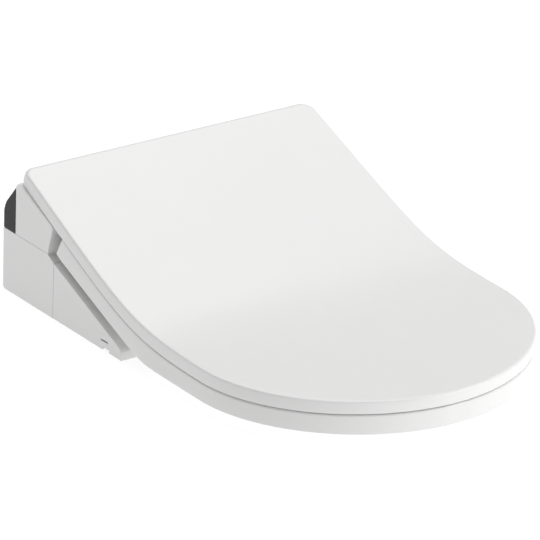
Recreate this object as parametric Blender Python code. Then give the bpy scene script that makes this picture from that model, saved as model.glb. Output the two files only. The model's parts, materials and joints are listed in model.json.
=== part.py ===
"""Electric bidet seat in metres: +Z up, front at -Y, origin on the line of the
fixing bolts at the underside of the base."""
import math

import bmesh
import bpy
from mathutils import Vector

# ---- lid ----
LID_WIDTH = 0.383
LID_REAR_WIDTH = 0.3664
LID_LENGTH = 0.516
LID_REAR_Y = 0.043
LID_FRONT_ARC = 0.1793
FRONT_POWER = 1.95
LID_CORNER = 0.012
LID_FRONT_TOP = 0.0506
LID_SLOPE = 0.425
LID_BEND = 0.2199
LID_BLEND = 0.031
LID_EDGE_FRONT = 0.014
LID_EDGE_REAR = 0.016
LID_SKIN = 0.003
LID_RIM = 0.006
NOSE_START = 0.0027
LID_OPEN_GAP = 0.0008

# ---- seat ----
SEAT_INSET = 0.0006
SEAT_FRONT_UNDER = 0.0145
SEAT_UNDER_SLOPE = 0.357
SEAT_UNDER_BEND = 0.2290
SEAT_REAR = 0.0626
SEAT_REAR_LEAN = 0.44
SEAT_WALL = 0.0025
SEAT_LIP = 0.007
HOLE_REAR = 0.154
SEAT_FRONT_BAND = 0.070
HOLE_CENTRE = (HOLE_REAR + LID_LENGTH - SEAT_FRONT_BAND) / 2
HOLE_LENGTH = LID_LENGTH - SEAT_FRONT_BAND - HOLE_REAR
HOLE_WIDTH = 0.214
BUMPER_RADIUS = 0.008
BUMPER_INSET = 0.042
ARM_WIDTH = 0.024
ARM_THICKNESS = 0.0085
ARM_ONTO_KNUCKLE = 0.963

# ---- rear unit ----
BODY_WIDTH = 0.372
BODY_REAR_Y = 0.0754
BODY_WALL = 0.0025
SEAM_Z = 0.069
CHAMFER_Z = 0.095
CHAMFER_TOP_Y = 0.0486
PANEL_Y = 0.053
KNEE_Y = -0.0088
KNEE_Z = 0.0715
WING_SPLIT_Y = -0.019
WING_SLOPE = 0.398
WING_FRONT_Y = -0.147
WING_FRONT_Z = 0.013
WING_WIDTH = 0.050
LID_BODY_GAP = 0.0015
PLATE_THICKNESS = 0.004
PLATE_WIDTH = 0.230
PLATE_DEPTH = 0.060
BOLT_SPACING = 0.155

# ---- hinges ----
KNUCKLE_RADIUS = 0.0046
PIN_RADIUS = 0.0024
PIN_FIT = 0.00035
HINGE_INNER_X = 0.104
HINGE_SIDE_GAP = 0.0005
KNUCKLE_WIDTH = 0.009

# ---- nozzle ----
WAND_ANGLE = math.radians(30)
WAND_RADIUS = 0.007
WAND_LENGTH = 0.130
WAND_TIP_Y = -0.044
WAND_TIP_Z = 0.0145
TIP_LENGTH = 0.022
GEAR_MODULE = 0.001
PINION_TEETH = 12
PINION_AT = 0.0545
HOUSING_WALL = 0.002

GAP = 0.0004
MOVING_GAP = 0.0008
ROUND_STEPS = 24

WHITE = (0.80, 0.80, 0.79, 1)
GREY = (0.32, 0.33, 0.34, 1)
DARK = (0.02, 0.02, 0.022, 1)
STEEL = (0.62, 0.62, 0.63, 1)
RUBBER = (0.10, 0.10, 0.10, 1)
GREEN = (0.03, 0.20, 0.08, 1)
COPPER = (0.55, 0.27, 0.12, 1)


# ---- geometry helpers ----
def clear_scene():
    for thing in list(bpy.data.objects):
        bpy.data.objects.remove(thing, do_unlink=True)


def material(name, colour, rough, metal=0.0):
    found = bpy.data.materials.get(name)
    if found:
        return found
    made = bpy.data.materials.new(name)
    made.use_nodes = True
    shader = made.node_tree.nodes["Principled BSDF"]
    shader.inputs["Base Color"].default_value = colour
    shader.inputs["Roughness"].default_value = rough
    shader.inputs["Metallic"].default_value = metal
    return made


def finish(thing, name, colour=WHITE, rough=0.35, metal=0.0):
    thing.name = name
    thing.data.name = name
    thing.data.materials.clear()
    thing.data.materials.append(material(name, colour, rough, metal))
    thing.data.shade_smooth()
    thing.data.set_sharp_from_angle(angle=math.radians(30))
    return thing


def new_object(mesh):
    thing = bpy.data.objects.new("piece", mesh)
    bpy.context.scene.collection.objects.link(thing)
    return thing


def prism(loop, axis, low, high):
    """A closed loop of 2-D points swept along an axis: the loop is in the other two axes."""
    others = [k for k in range(3) if k != axis]
    bm = bmesh.new()
    rings = []
    for level in (low, high):
        ring = []
        for point in loop:
            place = [0.0, 0.0, 0.0]
            place[others[0]], place[others[1]] = point
            place[axis] = level
            ring.append(bm.verts.new(place))
        rings.append(ring)
    count = len(loop)
    for i in range(count):
        j = (i + 1) % count
        bm.faces.new((rings[0][i], rings[0][j], rings[1][j], rings[1][i]))
    bm.faces.new(rings[0])
    bm.faces.new(rings[1])
    bmesh.ops.recalc_face_normals(bm, faces=bm.faces)
    mesh = bpy.data.meshes.new("prism")
    bm.to_mesh(mesh)
    bm.free()
    return new_object(mesh)


def box(low, high):
    loop = [(low[0], low[1]), (high[0], low[1]), (high[0], high[1]), (low[0], high[1])]
    return prism(loop, 2, low[2], high[2])


def circle(centre, radius, steps=ROUND_STEPS, start=0.0, end=2 * math.pi):
    whole = abs(end - start - 2 * math.pi) < 1e-6
    count = steps if whole else steps + 1
    return [
        (centre[0] + radius * math.cos(start + (end - start) * i / steps),
         centre[1] + radius * math.sin(start + (end - start) * i / steps))
        for i in range(count)
    ]


def cylinder(axis, centre, radius, low, high, steps=ROUND_STEPS):
    others = [k for k in range(3) if k != axis]
    return prism(circle((centre[others[0]], centre[others[1]]), radius, steps), axis, low, high)


def combine(target, tool, operation):
    change = target.modifiers.new(operation, "BOOLEAN")
    change.operation = operation
    change.object = tool
    graph = bpy.context.evaluated_depsgraph_get()
    mesh = bpy.data.meshes.new_from_object(target.evaluated_get(graph))
    target.modifiers.clear()
    target.data = mesh
    bpy.data.objects.remove(tool, do_unlink=True)
    return target


def join(target, *tools):
    for tool in tools:
        combine(target, tool, "UNION")
    return target


def cut(target, *tools):
    for tool in tools:
        combine(target, tool, "DIFFERENCE")
    return target


def common(target, tool):
    return combine(target, tool, "INTERSECT")


def bevel(thing, width, steps=2):
    change = thing.modifiers.new("edges", "BEVEL")
    change.width = width
    change.segments = steps
    change.limit_method = "ANGLE"
    return thing


def place_origin(thing, point):
    """Moves the object's origin to a point and leaves its shape where it is."""
    for vertex in thing.data.vertices:
        vertex.co -= Vector(point)
    thing.location = point
    return thing


# ---- curves that the lid, seat and body share; s runs forward from the lid's rear edge ----
def lid_top(s):
    bend = math.log1p(math.exp(min((LID_BEND - s) / LID_BLEND, 40)))
    return LID_FRONT_TOP + LID_SLOPE * LID_BLEND * bend


REAR_TILT = math.atan(LID_SLOPE)


def lid_under(s):
    rear = LID_EDGE_REAR / math.cos(REAR_TILT)
    return lid_top(s) - rear - (LID_EDGE_FRONT - rear) * s / LID_LENGTH


def seat_top(s):
    return lid_under(s) - LID_OPEN_GAP


def seat_under(s):
    return SEAT_FRONT_UNDER + SEAT_UNDER_SLOPE * max(SEAT_UNDER_BEND - s, 0)


def half_width(s, inset):
    widest = LID_LENGTH - LID_FRONT_ARC
    wide = LID_WIDTH / 2 - inset
    if s < widest:
        rear = LID_REAR_WIDTH / 2 - inset
        return rear + (wide - rear) * math.sin(math.pi / 2 * max(s, 0) / widest)
    along = min((s - widest) / (LID_FRONT_ARC - inset), 1)
    return wide * (1 - along ** FRONT_POWER) ** (1 / FRONT_POWER)


def plan_loop(inset, rear, corner, steps=30):
    """The plan outline, inset all round, from a straight rear edge at s = rear."""
    widest = LID_LENGTH - LID_FRONT_ARC
    right = []
    if corner:
        wide = half_width(rear, inset)
        for i in range(7):
            turn = math.pi / 2 * i / 6
            right.append((wide - corner + corner * math.sin(turn), rear + corner * (1 - math.cos(turn))))
    else:
        right.append((half_width(rear, inset), rear))
    first = rear + corner
    right += [(half_width(s, inset), s)
              for s in (first + (widest - first) * i / 9 for i in range(1, 10))]
    for i in range(1, steps):
        s = widest + (LID_FRONT_ARC - inset) * math.sin(math.pi / 2 * i / steps)
        right.append((half_width(s, inset), s))
    tip = [(0, LID_LENGTH - inset)]
    left = [(-x, s) for x, s in reversed(right)]
    return [(x, LID_REAR_Y - s) for x, s in right + tip + left]


HINGE_Y = LID_REAR_Y - NOSE_START + LID_EDGE_REAR / 2 * math.sin(REAR_TILT)
HINGE_Z = lid_top(NOSE_START) - LID_EDGE_REAR / 2 * math.cos(REAR_TILT)
HINGE = (HINGE_Y, HINGE_Z)


def stations(start, end, step=0.018):
    """Distances from the rear edge, at an even step."""
    count = max(round((end - start) / step), 1)
    return [start + (end - start) * i / count for i in range(count + 1)]


def slab_profile(top, under, start, end):
    """A side profile between two height functions, front to rear and back."""
    run = stations(start, end)
    return [(LID_REAR_Y - s, top(s)) for s in run] + [(LID_REAR_Y - s, under(s)) for s in reversed(run)]


def slab(top, under, start, end, reach=LID_WIDTH):
    return prism(slab_profile(top, under, start, end), 0, -reach, reach)


# ---- hinge stations along X, for the side at +X ----
def knuckle_spans():
    """Start and end of each knuckle from the middle outwards."""
    widths = [("body_inner", KNUCKLE_WIDTH), ("lid", KNUCKLE_WIDTH),
              ("seat", ARM_WIDTH), ("body_outer", KNUCKLE_WIDTH)]
    spans, at = {}, HINGE_INNER_X
    for name, width in widths:
        spans[name] = (at, at + width)
        at += width + HINGE_SIDE_GAP
    return spans


SPANS = knuckle_spans()
HINGE_OUTER_X = SPANS["body_outer"][1]


def mirrored(span, side):
    return sorted((span[0] * side, span[1] * side))


def pin_bore(span, radius=PIN_RADIUS + PIN_FIT):
    return cylinder(0, (0, *HINGE), radius, span[0] - 0.002, span[1] + 0.002, 20)


# ---- lid assembly ----
def lid_profile(skin, start, end):
    """The lid's side outline: straight surfaces and a round nose about the hinge axis."""
    run = stations(start, end)
    radius = LID_EDGE_REAR / 2 - skin
    up = math.pi / 2 + REAR_TILT
    steep = skin / math.cos(REAR_TILT)
    top = [(LID_REAR_Y - s, lid_top(s) - steep) for s in reversed(run)]
    nose = circle(HINGE, radius, 10, up, up - math.pi)
    return top + nose[1:] + [(LID_REAR_Y - s, lid_under(s)) for s in run[1:]]


def make_lid():
    front = LID_LENGTH + 0.01
    lid = prism(lid_profile(0, NOSE_START, front), 0, -LID_WIDTH, LID_WIDTH)
    common(lid, prism(plan_loop(0, -LID_EDGE_REAR, LID_CORNER), 2, -0.1, 0.3))
    run = stations(NOSE_START, LID_LENGTH)
    ceiling = lid_profile(LID_SKIN, NOSE_START, LID_LENGTH)[: len(run) + 10]
    low = [(LID_REAR_Y - s, lid_under(s) - 0.004) for s in run[1:]]
    low.insert(0, (HINGE_Y + 0.0019, HINGE_Z - LID_EDGE_REAR))
    pocket = prism(ceiling + low, 0, -LID_WIDTH, LID_WIDTH)
    common(pocket, prism(plan_loop(LID_RIM, -LID_EDGE_REAR, 0.001), 2, -0.1, 0.3))
    cut(lid, pocket)
    for side in (-1, 1):
        notch = mirrored((HINGE_INNER_X - 0.001, HINGE_OUTER_X + 0.001), side)
        cut(lid, box((notch[0], HINGE_Y - 0.001, HINGE_Z - 0.014), (notch[1], HINGE_Y + 0.012, HINGE_Z + 0.0008)))
        span = mirrored(SPANS["lid"], side)
        web = [(HINGE_Y + KNUCKLE_RADIUS * 0.7, HINGE_Z), (HINGE_Y + 0.002, HINGE_Z + 0.006),
               (HINGE_Y - 0.016, lid_top(0.018) - LID_SKIN / 2), (HINGE_Y - 0.012, HINGE_Z - 0.001)]
        knuckle = join(cylinder(0, (0, *HINGE), KNUCKLE_RADIUS, *span), prism(web, 0, *span))
        join(lid, knuckle)
        cut(lid, pin_bore(span))
    finish(lid, "lid_shell")
    return place_origin(lid, (0, *HINGE))


LINER_REAR = 0.098
BUFFER_RADIUS = 0.005


def buffer_spot(side):
    return side * 0.135, 0.36


def make_lid_liner():
    liner = slab(lambda s: lid_under(s) + 0.0022, lambda s: lid_under(s) + 0.0002, LINER_REAR, LID_LENGTH)
    common(liner, prism(plan_loop(LID_RIM + GAP, LINER_REAR, 0), 2, -0.1, 0.3))
    for side in (-1, 1):
        x, s = buffer_spot(side)
        cut(liner, cylinder(2, (x, LID_REAR_Y - s, 0), BUFFER_RADIUS + GAP, 0, 0.1, 16))
    finish(liner, "lid_liner")


def make_lid_buffers():
    for side, label in ((-1, "left"), (1, "right")):
        x, s = buffer_spot(side)
        y = LID_REAR_Y - s
        pad = cylinder(2, (x, y, 0), BUFFER_RADIUS, seat_top(s) + GAP, lid_under(s) + 0.004, 16)
        finish(pad, f"lid_buffer_{label}", RUBBER, 0.8)


# ---- seat assembly ----
def seat_rear_line(z, inset):
    """How far behind the front the seat's leaning rear face stands at a height."""
    base = seat_under(SEAT_REAR)
    return LID_REAR_Y - SEAT_REAR - inset - SEAT_REAR_LEAN * (z - base)


def seat_block(inset, hole_grow):
    """The seat's outer shape, moved inwards by a wall."""
    seat = slab(lambda s: seat_top(s) - inset * 1.05, lambda s: seat_under(s) + inset, 0.03, LID_LENGTH + 0.01)
    common(seat, prism(plan_loop(SEAT_INSET + inset, 0, 0, 24), 2, -0.1, 0.3))
    rear = [(seat_rear_line(0.0, inset), 0.0), (seat_rear_line(0.2, inset), 0.2), (0.2, 0.2), (0.2, 0.0)]
    cut(seat, prism(rear, 0, -LID_WIDTH, LID_WIDTH))
    cut(seat, hole_tool(hole_grow))
    return seat


def hole_tool(grow):
    centre = LID_REAR_Y - HOLE_CENTRE
    loop = [(x * (HOLE_WIDTH / 2 + grow), centre + y * (HOLE_LENGTH / 2 + grow)) for x, y in circle((0, 0), 1, 40)]
    return prism(loop, 2, -0.05, 0.2)


def parting(upper):
    """Everything above, or below, the line where the seat's halves meet."""
    shift = GAP / 2 if upper else -GAP / 2
    run = stations(-0.02, LID_LENGTH + 0.02, 0.04)
    far = 0.3 if upper else -0.3
    line = [(LID_REAR_Y - s, seat_under(s) + SEAT_LIP + shift) for s in run]
    return prism(line + [(line[-1][0], far), (line[0][0], far)], 0, -LID_WIDTH, LID_WIDTH)


def seat_arm(span):
    """A hinge arm that rises from the seat into the hollow lid, up to the axis."""
    def top(s):
        return lid_top(s) - LID_SKIN - 0.0017

    def under(s):
        return top(s) - ARM_THICKNESS
    start, end = LID_REAR_Y - HINGE_Y + KNUCKLE_RADIUS * ARM_ONTO_KNUCKLE, 0.090
    run = stations(start, end, 0.014)
    line = [(LID_REAR_Y - s, top(s)) for s in run]
    foot = [(LID_REAR_Y - end, seat_top(end) - 0.004), (seat_rear_line(0.085, SEAT_WALL), seat_top(0.0735) - 0.004)]
    lower = [(LID_REAR_Y - s, under(s)) for s in reversed(stations(start, 0.066, 0.014))]
    arm = prism(line + foot + lower, 0, *span)
    join(arm, cylinder(0, (0, *HINGE), KNUCKLE_RADIUS, *span))
    return arm


def make_seat():
    for name, upper in (("seat_upper", True), ("seat_lower", False)):
        shell = seat_block(0, 0)
        cut(shell, seat_block(SEAT_WALL, SEAT_WALL))
        common(shell, parting(upper))
        if upper:
            for side in (-1, 1):
                span = mirrored(SPANS["seat"], side)
                join(shell, seat_arm(span))
                cut(shell, pin_bore(span))
        finish(shell, name)
        place_origin(shell, (0, *HINGE))


def make_seat_heater():
    drop = SEAT_WALL * 1.05 + GAP
    mat = slab(lambda s: seat_top(s) - drop, lambda s: seat_top(s) - drop - 0.0008, 0.13, LID_LENGTH)
    common(mat, prism(plan_loop(0.012, 0.13, 0, 20), 2, -0.1, 0.3))
    cut(mat, hole_tool(0.010))
    finish(mat, "seat_heater", COPPER, 0.6)


def bumper_spots():
    side_x = LID_WIDTH / 2 - BUMPER_INSET
    front_s = LID_LENGTH - LID_FRONT_ARC * 0.343
    front_x = LID_WIDTH * 0.194
    for side, label in ((-1, "left"), (1, "right")):
        yield f"front_{label}", side * front_x, front_s
        yield f"rear_{label}", side * side_x, HOLE_CENTRE


def make_bumpers():
    for label, x, s in bumper_spots():
        y = LID_REAR_Y - s
        foot = cylinder(2, (x, y, 0), BUMPER_RADIUS, 0, seat_under(s) - GAP, 20)
        finish(bevel(foot, 0.0012), f"seat_bumper_{label}", RUBBER, 0.8)


# ---- rear unit ----
def chamfer_z(y):
    top = lid_under(LID_REAR_Y - CHAMFER_TOP_Y) - LID_BODY_GAP
    reach = (BODY_REAR_Y - CHAMFER_TOP_Y)
    return top - (y - CHAMFER_TOP_Y) * (top - CHAMFER_Z) / reach


def body_top(s):
    return lid_under(s) - LID_BODY_GAP


GROOVE_TOP_S = 0.0596


def wing_top(y):
    return KNEE_Z - 0.0035 + WING_SLOPE * (y - KNEE_Y - 0.004)


def upper_profile(wall):
    """Side outline of the upper case, moved inwards by a wall; open below when it has one."""
    run = stations(LID_REAR_Y - CHAMFER_TOP_Y, GROOVE_TOP_S)
    rear = PANEL_Y - GAP - wall
    low = SEAM_Z + GAP - (0.01 if wall else 0)
    start = [(rear, low), (rear, chamfer_z(rear + wall) - wall * 1.4)]
    top = [(LID_REAR_Y - s, body_top(s) - wall * 1.1) for s in run if LID_REAR_Y - s < rear - 0.001]
    top[-1] = (top[-1][0] + wall, top[-1][1])
    return start + top + [(KNEE_Y + wall, KNEE_Z + 0.002), (KNEE_Y + wall, low)]


def body_bracket(span):
    """A hinge knuckle on a neck that leans forward, clear of the lid's nose as it turns."""
    y, z = HINGE
    s_front, s_rear = LID_REAR_Y - y + 0.024, LID_REAR_Y - y + 0.0075
    neck = [(y - 0.0015, z - KNUCKLE_RADIUS * 0.9), (y - 0.0045, z + 0.0008),
            (LID_REAR_Y - s_front, body_top(s_front) - 0.001), (LID_REAR_Y - s_rear, body_top(s_rear) - 0.001)]
    return join(cylinder(0, (0, *HINGE), KNUCKLE_RADIUS, *span), prism(neck, 0, *span))


def make_top_case():
    half = BODY_WIDTH / 2
    case = prism(upper_profile(0), 0, -half, half)
    cut(case, prism(upper_profile(BODY_WALL), 0, -half + BODY_WALL, half - BODY_WALL))
    cut(case, box((-0.025, PANEL_Y - 0.01, 0.06), (0.025, PANEL_Y + 0.01, 0.095)))
    for side in (-1, 1):
        for place in ("body_inner", "body_outer"):
            span = mirrored(SPANS[place], side)
            join(case, body_bracket(span))
            cut(case, pin_bore(span, PIN_RADIUS + GAP))
    finish(case, "top_case")


def panel_profile(wall):
    low = SEAM_Z + GAP - (0.01 if wall else 0)
    front = PANEL_Y - (0.01 if wall else 0)
    rear = BODY_REAR_Y - wall
    corner = 0.006
    return [(front, low), (rear, low), (rear, CHAMFER_Z - corner - wall / 2),
            (rear - 0.0018, CHAMFER_Z - wall / 2), (rear - 0.004, chamfer_z(rear - 0.004 + wall) - wall * 1.4),
            (front, chamfer_z(front + wall) - wall * 1.4)]


def make_rear_panel():
    half = BODY_WIDTH / 2
    panel = prism(panel_profile(0), 0, -half, half)
    cut(panel, prism(panel_profile(BODY_WALL), 0, -half + BODY_WALL, half - BODY_WALL))
    finish(panel, "rear_panel", DARK, 0.12)


INLET_BAY = ((-0.165, 0.045, -0.01), (-0.125, 0.10, 0.036))
GLAND_X = 0.150
PLATE_FIT = 0.001


def plate_box(grow):
    low = (-PLATE_WIDTH / 2 - grow, -PLATE_DEPTH * 0.3 - grow, -0.01 if grow else 0.0)
    high = (PLATE_WIDTH / 2 + grow, PLATE_DEPTH * 0.7 + grow, PLATE_THICKNESS + (GAP if grow else 0))
    return low, high


def grown(corners, by):
    return tuple(tuple(v + d * by for v in corner) for corner, d in zip(corners, (-1, 1)))


def base_profile(wall):
    floor = PLATE_THICKNESS + GAP + BODY_WALL if wall else 0
    front = WING_SPLIT_Y + wall
    top = SEAM_Z + (0.01 if wall else 0)
    drop = wall * 1.2
    knee = KNEE_Y + wall
    return [(BODY_REAR_Y - wall - 0.0025, floor), (BODY_REAR_Y - wall, floor + 0.0025), (BODY_REAR_Y - wall, top),
            (knee, top), (knee, KNEE_Z - 0.0035 - drop), (front, wing_top(front) - drop), (front, floor)]


def make_base_case():
    half = BODY_WIDTH / 2
    base = prism(base_profile(0), 0, -half, half)
    hollow = prism(base_profile(BODY_WALL), 0, -half + BODY_WALL, half - BODY_WALL)
    cut(hollow, box(*grown(INLET_BAY, BODY_WALL)))
    cut(base, hollow, box(*INLET_BAY), box(*plate_box(PLATE_FIT)))
    cut(base, housing_shape(GAP), duct_box(GAP), button_box(0.0006), *screw_recesses())
    nipple_x, nipple_y = inlet_place()
    cut(base, cylinder(2, (nipple_x, nipple_y, 0), 0.0075, 0.03, 0.045))
    cut(base, cylinder(1, (GLAND_X, 0, 0.028), 0.0075, BODY_REAR_Y - 0.01, BODY_REAR_Y + 0.01))
    cut(base, cylinder(0, (0, DRAIN_Y, DRAIN_Z), DRAIN_RADIUS + 0.0006, half - 0.01, half + 0.01))
    for side in (-1, 1):
        inner, outer = half - WING_WIDTH + BODY_WALL + 0.0015, half - BODY_WALL - 0.0015
        rail = mirrored((inner, outer), side)
        join(base, box((rail[0], WING_FRONT_Y + 0.012, 0.0004), (rail[1], WING_SPLIT_Y + 0.001, 0.003)))
    finish(base, "base_case")


def wing_profile(wall):
    rear = WING_SPLIT_Y - GAP
    front = WING_FRONT_Y + wall
    drop = wall * 1.1
    crown = [(front, WING_FRONT_Z - 0.008), (front + 0.001, WING_FRONT_Z - 0.003 - drop / 2)]
    low = -0.01 if wall else 0
    back = rear + (0.01 if wall else 0)
    return [(back, low), (back, wing_top(back) - drop), (WING_FRONT_Y + 0.006, wing_top(WING_FRONT_Y + 0.006) - drop),
            crown[1], crown[0], (front + 0.001, low)]


def make_wings():
    half = BODY_WIDTH / 2
    for side, label in ((-1, "left"), (1, "right")):
        wing = prism(wing_profile(0), 0, *mirrored((half - WING_WIDTH, half), side))
        hollow = mirrored((half - WING_WIDTH + BODY_WALL, half - BODY_WALL), side)
        cut(wing, prism(wing_profile(BODY_WALL), 0, *hollow))
        slit = mirrored((half - 0.01, half + 0.01), side)
        cut(wing, box((slit[0], -0.121, 0.0097), (slit[1], -0.108, 0.0113)))
        cut(wing, box((slit[0], -0.1235, -0.01), (slit[1], -0.1115, 0.003)))
        finish(wing, f"wing_cover_{label}")


def make_mounting_plate():
    plate = box(*plate_box(0))
    for side in (-1, 1):
        x = side * BOLT_SPACING / 2
        cut(plate, box((x - 0.012, -0.004, -0.01), (x + 0.012, 0.0045, 0.01)))
    finish(plate, "mounting_plate", GREY, 0.5)


# ---- nozzle ----
def along(u, lift):
    """A point (y, z) at a distance behind the wand's tip and above its axis."""
    cos, sin = math.cos(WAND_ANGLE), math.sin(WAND_ANGLE)
    return (WAND_TIP_Y + u * cos - lift * sin, WAND_TIP_Z + u * sin + lift * cos)


def slanted_box(u0, u1, low, high, x0, x1):
    loop = [along(u0, low), along(u1, low), along(u1, high), along(u0, high)]
    return prism(loop, 0, x0, x1)


PITCH_RADIUS = GEAR_MODULE * PINION_TEETH / 2
PITCH_LIFT = WAND_RADIUS + 0.0016
HOUSING_HALF = WAND_RADIUS + MOVING_GAP + HOUSING_WALL


def housing_shape(grow):
    reach = HOUSING_HALF + grow
    return slanted_box(-0.006, 0.105, -reach, reach + 0.0025, -reach, reach)


def make_nozzle_housing():
    housing = housing_shape(0)
    inner = WAND_RADIUS + MOVING_GAP
    cut(housing, slanted_box(-0.02, 0.2, -inner, inner + 0.0025, -inner, inner))
    cut(housing, slanted_box(PINION_AT - 0.009, PINION_AT + 0.009, 0.004, 0.03, -0.02, 0.02))
    finish(housing, "nozzle_housing", WHITE, 0.5)


def wand_piece(u0, u1, radius):
    steps = 20
    bm = bmesh.new()
    rings = []
    for u in (u0, u1):
        ring = []
        for i in range(steps):
            turn = 2 * math.pi * i / steps
            y, z = along(u, radius * math.sin(turn))
            ring.append(bm.verts.new((radius * math.cos(turn), y, z)))
        rings.append(ring)
    for i in range(steps):
        j = (i + 1) % steps
        bm.faces.new((rings[0][i], rings[0][j], rings[1][j], rings[1][i]))
    bm.faces.new(rings[0])
    bm.faces.new(rings[1])
    bmesh.ops.recalc_face_normals(bm, faces=bm.faces)
    mesh = bpy.data.meshes.new("wand")
    bm.to_mesh(mesh)
    bm.free()
    return new_object(mesh)


def rack_tooth(u):
    half, tip = 0.00062, 0.00030
    top = PITCH_LIFT + 0.0008
    root = PITCH_LIFT - 0.0010
    loop = [along(u - half, root - 0.0008), along(u + half, root - 0.0008), along(u + tip, top), along(u - tip, top)]
    return prism(loop, 0, -0.0025, 0.0025)


def make_wand():
    wand = wand_piece(TIP_LENGTH + GAP, WAND_LENGTH, WAND_RADIUS)
    pitch = math.pi * GEAR_MODULE
    first = PINION_AT - 2 * pitch
    count = int((WAND_LENGTH - 0.001 - first) / pitch)
    join(wand, slanted_box(first - 0.001, WAND_LENGTH - 0.0006, WAND_RADIUS - 0.002, PITCH_LIFT - 0.0010, -0.0025, 0.0025))
    teeth = rack_tooth(first + 0.5 * pitch)
    for i in range(1, count):
        teeth = join(teeth, rack_tooth(first + (i + 0.5) * pitch))
    join(wand, teeth)
    finish(wand, "wand", GREY, 0.3)


def make_wand_tip():
    tip = wand_piece(0, TIP_LENGTH, WAND_RADIUS)
    for i in range(3):
        y, z = along(0.006 + 0.0045 * i, 0)
        cut(tip, cylinder(2, (0, y, 0), 0.0009, z + 0.004, z + 0.02, 10))
    finish(tip, "wand_tip", STEEL, 0.25, 1.0)
    reach = HOUSING_HALF - 0.0005
    shutter = slanted_box(-0.0088, -0.0070, -reach, reach + 0.0025, -reach, reach)
    join(shutter, slanted_box(-0.0072, -GAP, -0.002, 0.002, -0.002, 0.002))
    finish(shutter, "nozzle_shutter", WHITE, 0.4)


def make_pinion():
    """The teeth stand half a pitch from the rack's, so they mesh at rest."""
    centre = along(PINION_AT, PITCH_LIFT + PITCH_RADIUS)
    step = 2 * math.pi / PINION_TEETH
    down = -math.pi / 2 + WAND_ANGLE
    loop = []
    for i in range(PINION_TEETH):
        middle = down + i * step
        for turn, radius in ((-0.30, -0.0012), (-0.13, 0.0), (-0.07, 0.0007),
                             (0.07, 0.0007), (0.13, 0.0), (0.30, -0.0012)):
            angle = middle + turn * step * 1.6
            reach = PITCH_RADIUS + radius
            loop.append((centre[0] + reach * math.cos(angle), centre[1] + reach * math.sin(angle)))
    gear = prism(loop, 0, -0.0022, 0.0022)
    join(gear, cylinder(0, (0, *centre), 0.0018, -0.003, 0.0135, 12))
    finish(gear, "wand_pinion", GREY, 0.4)
    place_origin(gear, (0, *centre))
    motor = cylinder(0, (0, *centre), 0.009, 0.0145, 0.030)
    join(motor, cylinder(0, (0, *centre), 0.0075, 0.029, 0.040))
    finish(motor, "wand_motor", STEEL, 0.35, 1.0)


# ---- dryer ----
FAN_X, FAN_Y, FAN_Z = 0.082, 0.028, 0.042
FAN_RADIUS = 0.024
FAN_WIDTH = 0.026
DUCT_Z = (0.012, 0.030)


def duct_box(grow):
    half = FAN_WIDTH / 2 + grow
    return box((FAN_X - half, WING_SPLIT_Y - 0.006, DUCT_Z[0] - grow), (FAN_X + half, FAN_Y, DUCT_Z[1] + grow))


def make_dryer():
    wall = 0.002
    half = FAN_WIDTH / 2
    place = (0, FAN_Y, FAN_Z)
    case = join(cylinder(0, place, FAN_RADIUS + 0.006, FAN_X - half, FAN_X + half), duct_box(0))
    hollow = join(
        cylinder(0, place, FAN_RADIUS + 0.004, FAN_X - half + wall, FAN_X + half - wall),
        box((FAN_X - half + wall, WING_SPLIT_Y - 0.02, DUCT_Z[0] + wall), (FAN_X + half - wall, FAN_Y, DUCT_Z[1] - wall)))
    cut(case, hollow, cylinder(0, place, 0.010, FAN_X - half - 0.01, FAN_X + half + 0.01))
    finish(case, "dryer_housing", GREY, 0.5)
    wheel = cylinder(0, place, FAN_RADIUS - 0.001, FAN_X - 0.0012, FAN_X, 32)
    join(wheel, cylinder(0, place, 0.006, FAN_X - 0.007, FAN_X + 0.006, 20))
    for i in range(12):
        turn = 2 * math.pi * i / 12
        blade = [(0.0125, -0.0005), (FAN_RADIUS - 0.002, -0.0045), (FAN_RADIUS - 0.002, -0.0035), (0.0125, 0.0005)]
        loop = [(FAN_Y + r * math.cos(turn) - t * math.sin(turn), FAN_Z + r * math.sin(turn) + t * math.cos(turn))
                for r, t in blade]
        join(wheel, prism(loop, 0, FAN_X - 0.009, FAN_X - 0.0006))
    finish(wheel, "dryer_impeller", DARK, 0.5)
    place_origin(wheel, (FAN_X, FAN_Y, FAN_Z))
    motor = join(cylinder(0, place, 0.016, FAN_X + half + GAP, FAN_X + half + 0.020),
                 cylinder(0, place, 0.007, FAN_X + 0.0075, FAN_X + half + 0.001, 20))
    finish(motor, "dryer_motor", STEEL, 0.35, 1.0)
    make_dryer_flap()


FLAP_Y = WING_SPLIT_Y - 0.0075
FLAP_Z = DUCT_Z[1] + 0.0005


def make_dryer_flap():
    half = FAN_WIDTH / 2 - 0.0005
    flap = box((FAN_X - half, FLAP_Y - 0.0006, DUCT_Z[0]), (FAN_X + half, FLAP_Y + 0.0006, FLAP_Z))
    join(flap, cylinder(0, (0, FLAP_Y, FLAP_Z), 0.0011, FAN_X - half, FAN_X + half, 12))
    finish(flap, "dryer_flap", WHITE, 0.45)
    place_origin(flap, (FAN_X, FLAP_Y, FLAP_Z))


# ---- water and power ----
DRAIN_Y, DRAIN_Z, DRAIN_RADIUS = 0.048, 0.030, 0.009


def inlet_place():
    return (INLET_BAY[0][0] + INLET_BAY[1][0]) / 2, (INLET_BAY[0][1] + BODY_REAR_Y) / 2


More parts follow.
